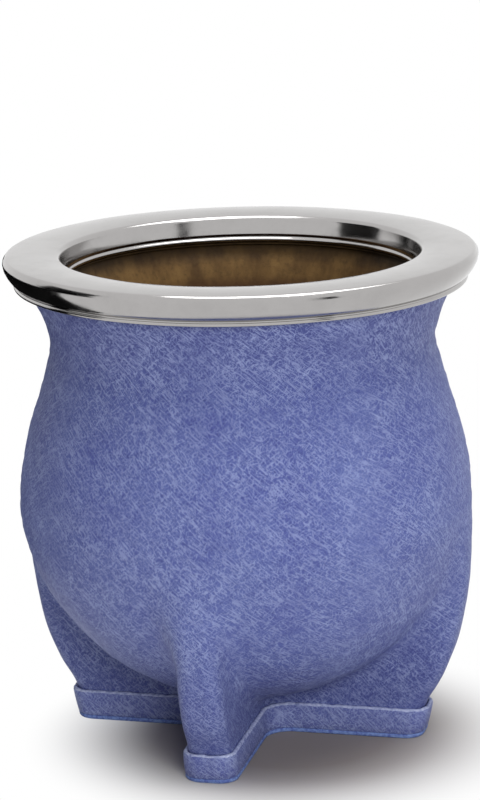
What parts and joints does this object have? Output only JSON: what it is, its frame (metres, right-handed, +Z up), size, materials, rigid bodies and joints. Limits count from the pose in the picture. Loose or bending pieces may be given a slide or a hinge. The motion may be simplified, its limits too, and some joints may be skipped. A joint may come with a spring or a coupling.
{
  "type": "mate gourd cup",
  "caption": "Empty mate gourd for drinking yerba mate: a calabash shell in a blue leather cover, with a polished metal rim and a cross-shaped foot with fins.",
  "frame": {"origin": "middle of the cross-shaped foot, on the surface that the cup stands on", "axes": "+Z up along the cup's axis, out of the mouth; the four fins point along +X, -X, +Y and -Y"},
  "size_m": [0.095, 0.095, 0.1],
  "materials": {
    "shell": "cured gourd, satin",
    "leather_cover": "dyed full-grain leather, satin",
    "foot_band": "dyed leather strip with a raw cut edge",
    "sole": "dyed sole leather",
    "rim": "polished"
  },
  "bodies": {
    "root": {"shell": "shell", "leather_cover": "leather_cover", "fin_right": "leather_cover", "fin_back": "leather_cover", "fin_left": "leather_cover", "fin_front": "leather_cover", "foot_hub": "leather_cover", "foot_band": "foot_band", "sole": "sole", "rim": "rim"}
  },
  "joints": []
}
